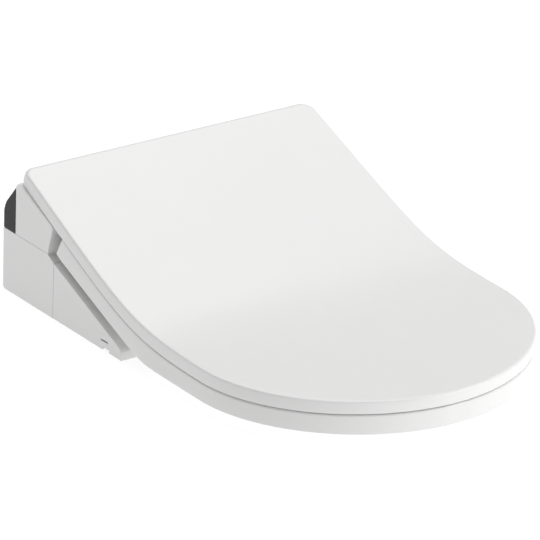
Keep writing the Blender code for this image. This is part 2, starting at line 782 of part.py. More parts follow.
def make_water_parts():
    heater = bevel(box((-0.122, -0.004, 0.012), (-0.038, 0.040, 0.046)), 0.003)
    finish(heater, "water_heater", STEEL, 0.4, 1.0)
    x, y = inlet_place()
    nipple = cylinder(2, (x, y, 0), 0.007, 0.0025, 0.050)
    join(nipple, cylinder(2, (x, y, 0), 0.010, 0.0395, 0.0435, 6),
         cylinder(2, (x, y, 0), 0.0088, 0.006, 0.0225))
    cut(nipple, cylinder(2, (x, y, 0), 0.0045, 0.0, 0.060))
    finish(nipple, "inlet_nipple", STEEL, 0.3, 1.0)
    valve = join(box((x - 0.014, y - 0.014, 0.051), (x + 0.014, y + 0.012, 0.068)),
                 cylinder(1, (x, 0, 0.060), 0.010, y - 0.042, y - 0.013))
    finish(valve, "inlet_valve", GREY, 0.5)
    diverter = join(box((-0.046, 0.020, 0.052), (-0.022, 0.046, 0.066)),
                    cylinder(2, (-0.034, 0.033, 0), 0.010, 0.065, 0.088))
    finish(diverter, "diverter_valve", GREY, 0.5)
    make_tube("tube_valve_to_heater", [(-0.145, 0.0135, 0.060), (-0.145, 0.004, 0.060), (-0.136, 0.002, 0.052),
                                       (-0.131, 0.012, 0.034), (-0.127, 0.017, 0.030), (-0.1226, 0.018, 0.030)])
    make_tube("tube_heater_to_diverter", [(-0.0374, 0.018, 0.034), (-0.033, 0.0185, 0.034),
                                          (-0.028, 0.026, 0.038), (-0.029, 0.032, 0.045), (-0.029, 0.033, 0.0515)])


def make_tube(name, points):
    """A bent water tube through its route's own points."""
    curve = bpy.data.curves.new(name, "CURVE")
    curve.dimensions = "3D"
    curve.bevel_depth = 0.003
    curve.bevel_resolution = 2
    curve.use_fill_caps = True
    line = curve.splines.new("POLY")
    smooth = smooth_route(points, 5)
    line.points.add(len(smooth) - 1)
    for knot, place in zip(line.points, smooth):
        knot.co = (*place, 1)
    thing = bpy.data.objects.new(name, curve)
    bpy.context.scene.collection.objects.link(thing)
    curve.materials.append(material(name, GREY, 0.5))


def smooth_route(points, steps):
    """Catmull-Rom through the points."""
    route = [Vector(p) for p in points]
    ends = [2 * route[0] - route[1]] + route + [2 * route[-1] - route[-2]]
    out = []
    for a, b, c, d in zip(ends, ends[1:], ends[2:], ends[3:]):
        for i in range(steps):
            t = i / steps
            out.append(0.5 * (2 * b + (c - a) * t + (2 * a - 5 * b + 4 * c - d) * t * t
                              + (3 * b - a - 3 * c + d) * t ** 3))
    return out + [route[-1]]


BOARD_Z = 0.0745


def make_power_parts():
    finish(bevel(box((0.124, -0.004, 0.010), (0.172, 0.030, 0.045)), 0.002), "power_module", DARK, 0.5)
    board = box((0.020, -0.002, BOARD_Z), (0.176, 0.044, BOARD_Z + 0.0016))
    for x, y, w, h in ((0.115, 0.020, 0.012, 0.006), (0.145, 0.012, 0.008, 0.011),
                       (0.160, 0.032, 0.006, 0.009), (0.075, 0.030, 0.010, 0.004)):
        join(board, box((x - w, y - w / 2, BOARD_Z + 0.0008), (x + w, y + w / 2, BOARD_Z + 0.0016 + h)))
    finish(board, "main_board", GREEN, 0.5)
    gland = join(cylinder(1, (GLAND_X, 0, 0.028), 0.007, BODY_REAR_Y - 0.008, BODY_REAR_Y),
                 cylinder(1, (GLAND_X, 0, 0.028), 0.0095, BODY_REAR_Y - 0.009, BODY_REAR_Y - BODY_WALL - GAP))
    cut(gland, cylinder(1, (GLAND_X, 0, 0.028), 0.0035, 0.0, 0.2))
    finish(gland, "cord_gland", DARK, 0.6)
    receiver = join(box((-0.176, 0.066, 0.074), (-0.148, 0.0676, 0.084)),
                    cylinder(1, (-0.162, 0, 0.079), 0.003, 0.067, 0.0715, 12))
    finish(receiver, "remote_receiver", GREEN, 0.5)
    half = BODY_WIDTH / 2
    plug = cylinder(0, (0, DRAIN_Y, DRAIN_Z), DRAIN_RADIUS, half - 0.012, half)
    cut(plug, box((half - 0.0012, DRAIN_Y - 0.0065, DRAIN_Z - 0.001), (half + 0.01, DRAIN_Y + 0.0065, DRAIN_Z + 0.001)))
    finish(plug, "drain_plug", GREY, 0.5)
    place_origin(plug, (half, DRAIN_Y, DRAIN_Z))


BUTTON_Y, BUTTON_Z = 0.010, 0.026


def button_box(grow):
    half = BODY_WIDTH / 2
    return box((half - 0.010, BUTTON_Y - 0.011 - grow, BUTTON_Z - 0.006 - grow),
               (half + (0.01 if grow else 0), BUTTON_Y + 0.011 + grow, BUTTON_Z + 0.006 + grow))


def make_release_button():
    button = button_box(0)
    finish(bevel(button, 0.0008), "release_button", WHITE, 0.4)


# ---- hinge hardware ----
def make_hinge_parts():
    for side, label, use in ((-1, "left", "lid"), (1, "right", "seat")):
        span = mirrored((HINGE_INNER_X + 0.001, HINGE_OUTER_X - 0.0005), side)
        finish(cylinder(0, (0, *HINGE), PIN_RADIUS, *span, 20), f"hinge_pin_{label}", STEEL, 0.25, 1.0)
        reach = mirrored((HINGE_INNER_X - 0.040, HINGE_INNER_X - GAP), side)
        finish(cylinder(0, (0, *HINGE), KNUCKLE_RADIUS, *reach, 20), f"{use}_damper", DARK, 0.4)


SCREW_X = (-0.172, -0.060, 0.060, 0.172)
SCREW_Y, SCREW_RADIUS, SCREW_DEPTH = 0.058, 0.0032, 0.0034


def screw_recesses():
    return [cylinder(2, (x, SCREW_Y, 0), SCREW_RADIUS + GAP, -0.01, SCREW_DEPTH, 16) for x in SCREW_X]


def make_screws():
    for i, x in enumerate(SCREW_X):
        head = cylinder(2, (x, SCREW_Y, 0), SCREW_RADIUS, SCREW_DEPTH - 0.0018, SCREW_DEPTH - GAP, 16)
        finish(head, f"case_screw_{i + 1}", STEEL, 0.3, 1.0)


def main():
    clear_scene()
    make_lid()
    make_lid_liner()
    make_lid_buffers()
    make_seat()
    make_seat_heater()
    make_bumpers()
    make_top_case()
    make_rear_panel()
    make_base_case()
    make_wings()
    make_mounting_plate()
    make_nozzle_housing()
    make_wand()
    make_wand_tip()
    make_pinion()
    make_dryer()
    make_water_parts()
    make_power_parts()
    make_release_button()
    make_hinge_parts()
    make_screws()


main()
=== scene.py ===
import json
import math

import bmesh
import bpy
from mathutils import Matrix, Vector


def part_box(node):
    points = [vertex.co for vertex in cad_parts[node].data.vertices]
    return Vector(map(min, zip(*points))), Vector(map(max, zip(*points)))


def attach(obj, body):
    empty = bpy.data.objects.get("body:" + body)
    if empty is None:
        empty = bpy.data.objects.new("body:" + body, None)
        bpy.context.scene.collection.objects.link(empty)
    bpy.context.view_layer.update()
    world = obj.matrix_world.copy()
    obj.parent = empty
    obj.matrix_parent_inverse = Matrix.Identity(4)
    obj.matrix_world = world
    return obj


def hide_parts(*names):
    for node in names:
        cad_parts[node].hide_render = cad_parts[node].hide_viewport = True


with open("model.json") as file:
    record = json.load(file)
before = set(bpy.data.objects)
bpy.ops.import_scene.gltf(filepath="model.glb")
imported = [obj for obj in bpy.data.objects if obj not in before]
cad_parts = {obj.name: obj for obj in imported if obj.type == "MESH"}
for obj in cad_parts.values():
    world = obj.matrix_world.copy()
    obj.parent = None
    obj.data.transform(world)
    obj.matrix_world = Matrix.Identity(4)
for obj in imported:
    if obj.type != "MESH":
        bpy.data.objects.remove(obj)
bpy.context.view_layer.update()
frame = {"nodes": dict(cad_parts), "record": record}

scene = bpy.context.scene

# ---- sizes: lengths in metres, slopes as rise over run ----
# s runs forward from the lid's nominal rear edge
LID_LOW, LID_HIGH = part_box("lid_shell")
LID_LENGTH = 0.516
LID_REAR_Y = LID_LOW.y + LID_LENGTH
LID_WIDTH = LID_HIGH.x - LID_LOW.x
LID_REAR_WIDTH = 0.3664
FRONT_ARC = 0.1793
FRONT_POWER = 1.95
WIDEST = LID_LENGTH - FRONT_ARC
FRONT_TOP = 0.0506
SLOPE = 0.425
BEND = 0.2199
BLEND = 0.031
EDGE_FRONT = 0.014
EDGE_REAR = 0.016
SKIN = 0.003
RIM = 0.006
LID_SEAT_GAP = 0.0008
SEAT_FRONT_UNDER = 0.0145
SEAT_UNDER_SLOPE = 0.357
SEAT_UNDER_BEND = 0.2290
SEAT_UNDER_BLEND = 0.008
HOLE_CENTRE = 0.300
HOLE_LENGTH = 0.292
HOLE_WIDTH = 0.214
DAMPER_LOW, DAMPER_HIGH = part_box("lid_damper")
HINGE = (DAMPER_LOW + DAMPER_HIGH) / 2
NOSE = LID_HIGH.z - HINGE.z
KNUCKLE_RADIUS = (DAMPER_HIGH.z - DAMPER_LOW.z) / 2
SIDES = (("left", -1), ("right", 1))


# ---- camera ----
AZIMUTH, ELEVATION, ROLL = math.radians(-36.217), math.radians(23.506), math.radians(1.861)
VIEW_DISTANCE = 6.173
VIEW_POINT = Vector((0, -0.215, 0.050))
PAN_LEFT, PAN_UP = 0.04047, 0.03235
LENS = 400
CLIP_END = 100


def make_camera():
    """The photograph's camera: its back, right and up axes from its angles, then its place."""
    back = Vector((math.sin(AZIMUTH) * math.cos(ELEVATION),
                   -math.cos(AZIMUTH) * math.cos(ELEVATION), math.sin(ELEVATION)))
    level = Vector((math.cos(AZIMUTH), math.sin(AZIMUTH), 0))
    above = back.cross(level)
    right = level * math.cos(ROLL) + above * math.sin(ROLL)
    up = above * math.cos(ROLL) - level * math.sin(ROLL)
    data = bpy.data.cameras.new("camera")
    data.lens = LENS
    data.clip_end = CLIP_END
    camera = bpy.data.objects.new("camera", data)
    scene.collection.objects.link(camera)
    turn = Matrix((right, up, back)).transposed().to_4x4()
    place = VIEW_POINT + back * VIEW_DISTANCE - right * PAN_LEFT + up * PAN_UP
    camera.matrix_world = Matrix.Translation(place) @ turn
    scene.camera = camera


make_camera()


# ---- materials ----
BUMP_HEIGHT = 0.0002
GRAIN_SCALE = 1400
COAT_ROUGHNESS = 0.08


class Nodes:
    """A short way to write a material's node tree."""

    def __init__(self, name):
        self.material = bpy.data.materials.new(name)
        self.material.use_nodes = True
        self.tree = self.material.node_tree
        self.shader = self.tree.nodes["Principled BSDF"]
        self.place = self.add("ShaderNodeTexCoord").outputs["Object"]

    def add(self, kind, **values):
        node = self.tree.nodes.new(kind)
        for key, value in values.items():
            if key in node.inputs:
                node.inputs[key].default_value = value
            else:
                setattr(node, key, value)
        return node

    def link(self, output, target):
        self.tree.links.new(output, target)

    def noise(self, scale, detail=2.0, stretch=None):
        node = self.add("ShaderNodeTexNoise", Scale=scale, Detail=detail)
        start = self.place
        if stretch:
            mapping = self.add("ShaderNodeMapping", Scale=stretch)
            self.link(self.place, mapping.inputs["Vector"])
            start = mapping.outputs["Vector"]
        self.link(start, node.inputs["Vector"])
        return node.outputs["Fac"]

    def spread(self, source, low, high, from_low=0.3, from_high=0.7):
        limits = {"From Min": from_low, "From Max": from_high, "To Min": low, "To Max": high}
        node = self.add("ShaderNodeMapRange", **limits)
        self.link(source, node.inputs["Value"])
        return node.outputs["Result"]

    def tint(self, source, dark, light):
        """The base colour runs between two colours as the source does."""
        node = self.add("ShaderNodeMix", data_type="RGBA")
        for name, colour in (("A", dark), ("B", light)):
            socket = next(i for i in node.inputs if i.name == name and i.type == "RGBA")
            socket.default_value = (*colour, 1)
        self.link(source, node.inputs["Factor"])
        mixed = next(o for o in node.outputs if o.type == "RGBA")
        self.link(mixed, self.shader.inputs["Base Color"])

    def gloss(self, source, low, high):
        """The roughness runs between two values as the source does."""
        self.link(self.spread(source, low, high), self.shader.inputs["Roughness"])

    def bump(self, source, strength):
        node = self.add("ShaderNodeBump", Strength=strength, Distance=BUMP_HEIGHT)
        self.link(source, node.inputs["Height"])
        self.link(node.outputs["Normal"], self.shader.inputs["Normal"])


def scaled(colour, factor):
    return tuple(min(channel * factor, 1.0) for channel in colour)


def plastic(name, colour, rough, grain, grain_scale=GRAIN_SCALE, coat=0.0, variation=0.02,
            ior=1.48):
    """Moulded plastic: slow tone drift, a fine surface grain and slightly uneven gloss."""
    kit = Nodes(name)
    drift = kit.noise(scale=14, detail=3)
    kit.tint(drift, scaled(colour, 1 - variation), scaled(colour, 1 + variation / 2))
    kit.gloss(kit.noise(scale=60, detail=4), low=rough * 0.88, high=rough * 1.12)
    kit.bump(kit.noise(scale=grain_scale), strength=grain)
    kit.shader.inputs["IOR"].default_value = ior
    kit.shader.inputs["Coat Weight"].default_value = coat
    kit.shader.inputs["Coat Roughness"].default_value = COAT_ROUGHNESS
    return kit.material


def metal(name, colour, rough, stretch):
    """Turned or cast metal: fine marks drawn out along one direction."""
    kit = Nodes(name)
    marks = kit.noise(scale=700, detail=3, stretch=stretch)
    kit.tint(marks, dark=scaled(colour, 0.86), light=scaled(colour, 1.06))
    kit.gloss(marks, low=rough * 0.75, high=rough * 1.3)
    kit.shader.inputs["Metallic"].default_value = 1.0
    kit.bump(marks, strength=0.12)
    return kit.material


def rubber(name, colour):
    kit = Nodes(name)
    kit.tint(kit.noise(scale=220, detail=4), dark=scaled(colour, 0.85), light=scaled(colour, 1.1))
    kit.gloss(kit.noise(scale=500), low=0.62, high=0.8)
    kit.bump(kit.noise(scale=2200, detail=3), strength=0.25)
    return kit.material


def circuit(name):
    """A coated board: dark green with lighter copper runs under the coat."""
    kit = Nodes(name)
    cells = kit.add("ShaderNodeTexVoronoi", feature="DISTANCE_TO_EDGE", Scale=260)
    kit.link(kit.place, cells.inputs["Vector"])
    lines = kit.spread(cells.outputs["Distance"], low=1.0, high=0.0, from_low=0.02, from_high=0.06)
    kit.tint(lines, dark=(0.012, 0.10, 0.035), light=(0.05, 0.26, 0.09))
    kit.gloss(kit.noise(scale=300), low=0.3, high=0.45)
    kit.bump(lines, strength=0.15)
    return kit.material


SLOTS = {
    "white_shell": plastic("white_shell", (0.80, 0.80, 0.795), rough=0.36, grain=0.025, coat=0.05,
                           variation=0.012),
    "white_inner": plastic("white_inner", (0.74, 0.74, 0.735), rough=0.42, grain=0.10),
    "dark_panel": plastic("dark_panel", (0.010, 0.010, 0.011), rough=0.22, grain=0.02,
                          variation=0.06, ior=1.32),
    "grey_plastic": plastic("grey_plastic", (0.36, 0.37, 0.38), rough=0.48, grain=0.16,
                            variation=0.05),
    "dark_plastic": plastic("dark_plastic", (0.028, 0.028, 0.030), rough=0.5, grain=0.2,
                            variation=0.08),
    "rubber_pad": rubber("rubber_pad", (0.55, 0.55, 0.545)),
    "steel": metal("steel", (0.62, 0.62, 0.63), rough=0.25, stretch=(1, 14, 14)),
    "alloy": metal("alloy", (0.58, 0.59, 0.60), rough=0.42, stretch=(1, 1, 6)),
    "brass_fitting": metal("brass_fitting", (0.70, 0.52, 0.24), rough=0.28, stretch=(3, 3, 18)),
    "board": circuit("board"),
    "heat_mat": plastic("heat_mat", (0.55, 0.28, 0.12), rough=0.4, grain=0.3, grain_scale=500,
                        variation=0.15),
}


# ---- surfaces shared by lid and seat ----
EXP_LIMIT = 40
CORNER_STEPS = 10
SIDE_STEPS = 60
FRONT_STEPS = 70
SMOOTH_ANGLE = 40


def soft_ramp(distance, blend):
    """Near 0 on one side of a bend and distance / blend on the other, with a smooth change."""
    return math.log1p(math.exp(min(distance / blend, EXP_LIMIT)))


def lid_top(s):
    """The height of the lid's top surface, on the centre line and without its crown."""
    return FRONT_TOP + SLOPE * BLEND * soft_ramp(BEND - s, BLEND)


def tilt(s):
    """The lid surface's angle at a distance from the rear."""
    return math.atan(SLOPE / (1 + math.exp(min((s - BEND) / BLEND, EXP_LIMIT))))


def lid_depth(s):
    """The edge's thickness square to the surface."""
    rear = EDGE_REAR / math.cos(math.atan(SLOPE))
    return (rear - (rear - EDGE_FRONT) * max(s, 0) / LID_LENGTH) * math.cos(tilt(s))


def seat_top(s):
    """The seat's top surface, a gap below the lid's edge."""
    return lid_top(s) - lid_depth(s) / math.cos(tilt(s)) - LID_SEAT_GAP


def seat_under(s):
    ramp = soft_ramp(SEAT_UNDER_BEND - s, SEAT_UNDER_BLEND)
    return SEAT_FRONT_UNDER + SEAT_UNDER_SLOPE * SEAT_UNDER_BLEND * ramp


def half_width(s):
    """Half the lid's width: it widens slowly up to WIDEST, then closes in a superellipse."""
    if s < WIDEST:
        growth = math.sin(math.pi / 2 * max(s, 0) / WIDEST)
        return LID_REAR_WIDTH / 2 + (LID_WIDTH - LID_REAR_WIDTH) / 2 * growth
    reach = min((s - WIDEST) / FRONT_ARC, 1)
    return LID_WIDTH / 2 * (1 - reach ** FRONT_POWER) ** (1 / FRONT_POWER)


def quarter(steps):
    """Angles from 0 to a right angle."""
    return [math.pi / 2 * i / steps for i in range(steps + 1)]


def right_side(rear, corner):
    """The plan outline's right half as (x, s): the rear edge's end, the corner, then the side."""
    first = rear + corner
    middle = half_width(first) - corner
    turns = quarter(CORNER_STEPS)
    points = [(middle + corner * math.sin(a), rear + corner * (1 - math.cos(a))) for a in turns]
    along = [first + (WIDEST - first) * i / SIDE_STEPS for i in range(1, SIDE_STEPS + 1)]
    along += [WIDEST + FRONT_ARC * math.sin(a) for a in quarter(FRONT_STEPS)[1:-1]]
    return points + [(half_width(s), s) for s in along]


def whole_loop(right, across):
    """Rear edge from left to right, the right side to the tip, and the left side back."""
    end = right[0][0]
    rear = [(-end + 2 * end * i / across, right[0][1]) for i in range(across + 1)]
    left = [(-x, s) for x, s in reversed(right[1:])]
    return rear + right[1:] + [(0.0, LID_LENGTH)] + left


def outwards(loop):
    """Plan normals that point out of the loop."""
    found = []
    for i in range(len(loop)):
        (x_before, s_before), (x_after, s_after) = loop[i - 1], loop[(i + 1) % len(loop)]
        found.append(Vector((s_after - s_before, -(x_after - x_before))).normalized())
    middle = sum(s for x, s in loop) / len(loop)
    tip = max(range(len(loop)), key=lambda i: loop[i][1])
    return found if found[tip].y * (loop[tip][1] - middle) > 0 else [-n for n in found]


def smooth_by_angle(mesh, angle=SMOOTH_ANGLE):
    mesh.shade_smooth()
    mesh.set_sharp_from_angle(angle=math.radians(angle))


def new_mesh(name, bm, smooth=SMOOTH_ANGLE):
    bmesh.ops.recalc_face_normals(bm, faces=bm.faces)
    mesh = bpy.data.meshes.new(name)
    bm.to_mesh(mesh)
    bm.free()
    smooth_by_angle(mesh, smooth)
    piece = bpy.data.objects.new(name, mesh)
    scene.collection.objects.link(piece)
    return piece


def dress(piece, slot, body, *nodes):
    piece.data.materials.clear()
    piece.data.materials.append(SLOTS[slot])
    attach(piece, body)
    if nodes:
        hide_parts(*nodes)


def weave_rings(bm, rings):
    for one, two in zip(rings, rings[1:]):
        for i in range(len(one)):
            j = (i + 1) % len(one)
            bm.faces.new((one[i], one[j], two[j], two[i]))


def fill_rows(bm, ring, across, place):
    """Fills a ring from whole_loop with rows that run straight across, left to right."""
    side = (len(ring) - across - 2) // 2
    rear = ring[: across + 1]
    tip = ring[across + 1 + side]
    previous = rear
    for k in range(side):
        right = ring[across + 1 + k]
        left = ring[-1 - k]
        row = [left]
        for i in range(1, across):
            x = left.co.x + (right.co.x - left.co.x) * i / across
            row.append(bm.verts.new(place(x, LID_REAR_Y - right.co.y)))
        row.append(right)
        for i in range(across):
            bm.faces.new((previous[i], previous[i + 1], row[i + 1], row[i]))
        previous = row
    for i in range(across):
        bm.faces.new((previous[i], previous[i + 1], tip))


def box_tool(low, high):
    bm = bmesh.new()
    bmesh.ops.create_cube(bm, size=1)
    for vertex in bm.verts:
        vertex.co = Vector([low[k] + (vertex.co[k] + 0.5) * (high[k] - low[k]) for k in range(3)])
    return new_mesh("tool", bm)


def change(piece, tool, operation):
    step = piece.modifiers.new(operation, "BOOLEAN")
    step.operation = operation
    step.object = tool
    changed = piece.evaluated_get(bpy.context.evaluated_depsgraph_get())
    mesh = bpy.data.meshes.new_from_object(changed)
    piece.modifiers.clear()
    piece.data = mesh
    bpy.data.objects.remove(tool, do_unlink=True)


# ---- hinge ----
HINGE_INNER_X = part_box("hinge_pin_right")[0].x
KNUCKLE_WIDTH = 0.009
HINGE_SIDE_GAP = 0.0005
PIN_BORE = 0.00275
ROD_STEPS = 48
KNUCKLE_OVERCUT = 0.0002


def extruded(loop, low, high, name):
    """A prism along X over a closed loop of (y, z)."""
    bm = bmesh.new()
    ends = [[bm.verts.new((x, y, z)) for y, z in loop] for x in (low, high)]
    weave_rings(bm, ends)
    for end in ends:
        bm.faces.new(end)
    return new_mesh(name, bm)


def rod(low, high, radius):
    """A cylinder along the hinge axis."""
    loop = [(HINGE.y + radius * math.cos(a), HINGE.z + radius * math.sin(a))
            for a in (2 * math.pi * i / ROD_STEPS for i in range(ROD_STEPS))]
    return extruded(loop, low, high, "rod")


# ---- lid ----
LID_ACROSS = 24
LINER_REAR = 0.098
LINER_CORNER = 0.002
LINER_GAP = 0.0004
LINER_INSET = RIM + LINER_GAP
LINER_LIFT = 0.0002
LINER_THICKNESS = 0.0022
LINER_EDGE = ((0.0008, 0), (0.0002, 0.0002), (0, 0.0008), (0, 0.0018), (0.0006, LINER_THICKNESS))
LID_CORNER = 0.0135
LID_EDGE_TOP = 0.0026
LID_EDGE_LOW = 0.0016
CROWN = 0.0005
CROWN_START = 0.06
ARC_STEPS = 7
NOSE_LOW_CUT = 0.0004
NOTCH_PAST_PIN = (0.002, 0.0015)
NOTCH_Y = (-0.001, 0.012)
NOTCH_Z = (-0.014, 0.0008)
WEB_ONTO_KNUCKLE = 0.7
WEB_REAR = (0.002, 0.006)
WEB_FRONT_Y, WEB_FRONT_S = 0.016, 0.018
WEB_LOW = (0.012, 0.001)


def rear_share(normal):
    return max(-normal.y, 0.0)


def lid_edge_profile(share, depth):
    """Points (inset, drop) over the lid's edge, from its top surface to its hollow's ceiling."""
    top = LID_EDGE_TOP + (NOSE - LID_EDGE_TOP) * share
    low = LID_EDGE_LOW + (NOSE - NOSE_LOW_CUT - LID_EDGE_LOW) * share
    turns = quarter(ARC_STEPS)
    out = [(top * (1 - math.sin(a)), top * (1 - math.cos(a))) for a in turns]
    out += [(low * (1 - math.cos(a)), depth - low * (1 - math.sin(a))) for a in turns]
    inner = NOSE - SKIN
    for i in range(ARC_STEPS + 1):
        turn = math.pi * i / ARC_STEPS
        nose = (NOSE - inner * math.sin(turn), NOSE + inner * math.cos(turn))
        wall = (RIM, depth - (depth - SKIN) * i / ARC_STEPS)
        out.append(tuple(w + (n - w) * share for w, n in zip(wall, nose)))
    return out


def on_lid(x, s, drop):
    """A point under the lid's top surface, square to it."""
    lean = tilt(s)
    crown = CROWN * (1 - (2 * x / LID_WIDTH) ** 2) * min(max(s / CROWN_START - 1, 0), 1)
    height = lid_top(s) + crown - drop * math.cos(lean)
    return Vector((x, LID_REAR_Y - s + drop * math.sin(lean), height))


def lid_nose_start():
    """Where the lid's outline ends at the rear, so that its nose is round about the hinge axis."""
    return LID_REAR_Y - (HINGE.y + NOSE * math.cos(tilt(0)) - NOSE * math.sin(tilt(0)))


def make_lid():
    loop = whole_loop(right_side(lid_nose_start(), LID_CORNER), LID_ACROSS)
    out = outwards(loop)
    bm = bmesh.new()
    profiles = [lid_edge_profile(rear_share(n), lid_depth(s)) for n, (x, s) in zip(out, loop)]
    rings = []
    for j in range(len(profiles[0])):
        ring = []
        for (x, s), n, profile in zip(loop, out, profiles):
            inset, drop = profile[j]
            at = s - n.y * inset * math.cos(tilt(s))
            ring.append(bm.verts.new(on_lid(x - n.x * inset, at, drop)))
        rings.append(ring)
    weave_rings(bm, rings)
    fill_rows(bm, rings[0], LID_ACROSS, lambda x, s: on_lid(x, s, 0))
    fill_rows(bm, rings[-1], LID_ACROSS, lambda x, s: on_lid(x, s, SKIN))
    return new_mesh("lid_skin", bm)


def notch_lid(lid):
    """Clears the nose's lower half where case knuckles and seat arms come up into the lid."""
    for node in ("hinge_pin_left", "hinge_pin_right"):
        low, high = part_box(node)
        start = (low.x - NOTCH_PAST_PIN[0], HINGE.y + NOTCH_Y[0], HINGE.z + NOTCH_Z[0])
        end = (high.x + NOTCH_PAST_PIN[1], HINGE.y + NOTCH_Y[1], HINGE.z + NOTCH_Z[1])
        change(lid, box_tool(start, end), "DIFFERENCE")


def add_knuckles(lid):
    """The lid's own hinge knuckles, on webs under its skin."""
    web = [(HINGE.y + KNUCKLE_RADIUS * WEB_ONTO_KNUCKLE, HINGE.z),
           (HINGE.y + WEB_REAR[0], HINGE.z + WEB_REAR[1]),
           (HINGE.y - WEB_FRONT_Y, lid_top(WEB_FRONT_S) - SKIN / 2),
           (HINGE.y - WEB_LOW[0], HINGE.z - WEB_LOW[1])]
    for _, side in SIDES:
        inner = side * (HINGE_INNER_X + KNUCKLE_WIDTH + HINGE_SIDE_GAP)
        low, high = sorted((inner, inner + side * KNUCKLE_WIDTH))
        change(lid, extruded(web, low, high, "web"), "UNION")
        change(lid, rod(low, high, KNUCKLE_RADIUS), "UNION")
        change(lid, rod(low - KNUCKLE_OVERCUT, high + KNUCKLE_OVERCUT, PIN_BORE), "DIFFERENCE")


def liner_height(s):
    return lid_top(s) - lid_depth(s) / math.cos(tilt(s)) + LINER_LIFT


def make_lid_liner():
    """The panel that closes the lid's hollow from below."""
    loop = whole_loop(right_side(LINER_REAR, LINER_CORNER), LID_ACROSS)
    out = outwards(loop)
    bm = bmesh.new()
    rings = []
    for inset, height in LINER_EDGE:
        ring = []
        for (x, s), n in zip(loop, out):
            inward = LINER_INSET * (1 - rear_share(n)) + inset
            at = s - n.y * inward
            z = liner_height(at) + height
            ring.append(bm.verts.new((x - n.x * inward, LID_REAR_Y - at, z)))
        rings.append(ring)
    weave_rings(bm, rings)
    for ring, height in ((rings[0], 0), (rings[-1], LINER_THICKNESS)):
        fill_rows(bm, ring, LID_ACROSS,
                  lambda x, s: Vector((x, LID_REAR_Y - s, liner_height(s) + height)))
    return new_mesh("lid_inner_panel", bm)


lid = make_lid()
notch_lid(lid)
add_knuckles(lid)
smooth_by_angle(lid.data)
dress(lid, "white_shell", "lid", "lid_shell")
dress(make_lid_liner(), "white_inner", "lid", "lid_liner")

# ---- seat ----
SEAT_INSET = 0.0006
SEAT_TOP_ROUND = 0.0022
SEAT_LOW_ROUND = 0.0010
SEAT_HOLE_ROUND = 0.0065
SEAT_HOLE_LOW = 0.0030
SEAT_DISH = 0.0016
SEAM_INSET = 0.0060
SEAM_WIDTH = 0.0005
SEAM_DEPTH = 0.0011
SEAT_REAR = 0.0626
SEAT_REAR_LEAN = 0.44
SEAT_STEPS = 360
SEAT_SMOOTH_ANGLE = 50
ROUND_STEPS = 6
TOP_STEPS = 12
UNDER_STEPS = 6
RIM_REACH = 0.5
RIM_HALVINGS = 40
SEAT_CORNER = 0.004
SEAT_LEAN_REACH = 0.09
EDGE_SEGMENTS = 3
EDGE_ANGLE = 30
ARM_START = 0.004
ARM_STEP = 0.0122
ARM_GAP = 0.0017
ARM_DROP = SKIN + ARM_GAP
ARM_THICKNESS = 0.0085
ARM_SINK = 0.003
ARM_WIDTH = 0.024
ARM_UPPER_POINTS, ARM_LOWER_POINTS = 8, 6
ARM_OVERCUT = 0.002
ARM_EDGE = 0.0008


def in_seat(x, s):
    side, rear = half_width(s) - SEAT_INSET - abs(x), s - SEAT_REAR
    if side < SEAT_CORNER and rear < SEAT_CORNER:
        return math.hypot(SEAT_CORNER - side, SEAT_CORNER - rear) < SEAT_CORNER
    return side > 0 and rear > 0 and s < LID_LENGTH - SEAT_INSET


def seat_rim(angle):
    """The seat's outline seen from the hole's centre: x and s at an angle."""
    across, along = math.sin(angle), math.cos(angle)
    near, far = 0.0, RIM_REACH
    for _ in range(RIM_HALVINGS):
        reach = (near + far) / 2
        if in_seat(across * reach, HOLE_CENTRE + along * reach):
            near = reach
        else:
            far = reach
    return Vector((across * near, HOLE_CENTRE + along * near))


def seat_hole(angle):
    """The hole's oval: x and s at an angle."""
    across, along = math.sin(angle) / (HOLE_WIDTH / 2), math.cos(angle) / (HOLE_LENGTH / 2)
    reach = 1 / math.hypot(across, along)
    return Vector((math.sin(angle) * reach, HOLE_CENTRE + math.cos(angle) * reach))


def seat_section():
    """The ring's section as (share of the way from hole to rim, inset, height, from the top?)."""
    low, hole, top, foot = SEAT_HOLE_LOW, SEAT_HOLE_ROUND, SEAT_TOP_ROUND, SEAT_LOW_ROUND
    turns = quarter(ROUND_STEPS)
    out = [(0, low * (1 - math.sin(a)), low * (1 - math.cos(a)), False) for a in turns]
    out += [(0, hole * (1 - math.cos(a)), -hole * (1 - math.sin(a)), True) for a in turns]
    for i in range(1, TOP_STEPS):
        out.append((i / TOP_STEPS, 0, -SEAT_DISH * math.sin(math.pi * i / TOP_STEPS) ** 2, True))
    out += [(1, top * (1 - math.sin(a)), -top * (1 - math.cos(a)), True) for a in turns]
    out += [(1, foot * (1 - math.cos(a)), foot * (1 - math.sin(a)), False) for a in turns]
    out += [(1, SEAM_INSET, 0, False), (1, SEAM_INSET, SEAM_DEPTH, False),
            (1, SEAM_INSET + SEAM_WIDTH, SEAM_DEPTH, False),
            (1, SEAM_INSET + SEAM_WIDTH, 0, False)]
    return out + [(1 - i / UNDER_STEPS, 0, 0, False) for i in range(1, UNDER_STEPS)]


def leaning(plan, height):
    """Moves a point forward with its height, because the seat's rear face leans forward."""
    share = max(1 - (plan.y - SEAT_REAR) / SEAT_LEAN_REACH, 0)
    return Vector((plan.x, plan.y + SEAT_REAR_LEAN * max(height, 0) * share))


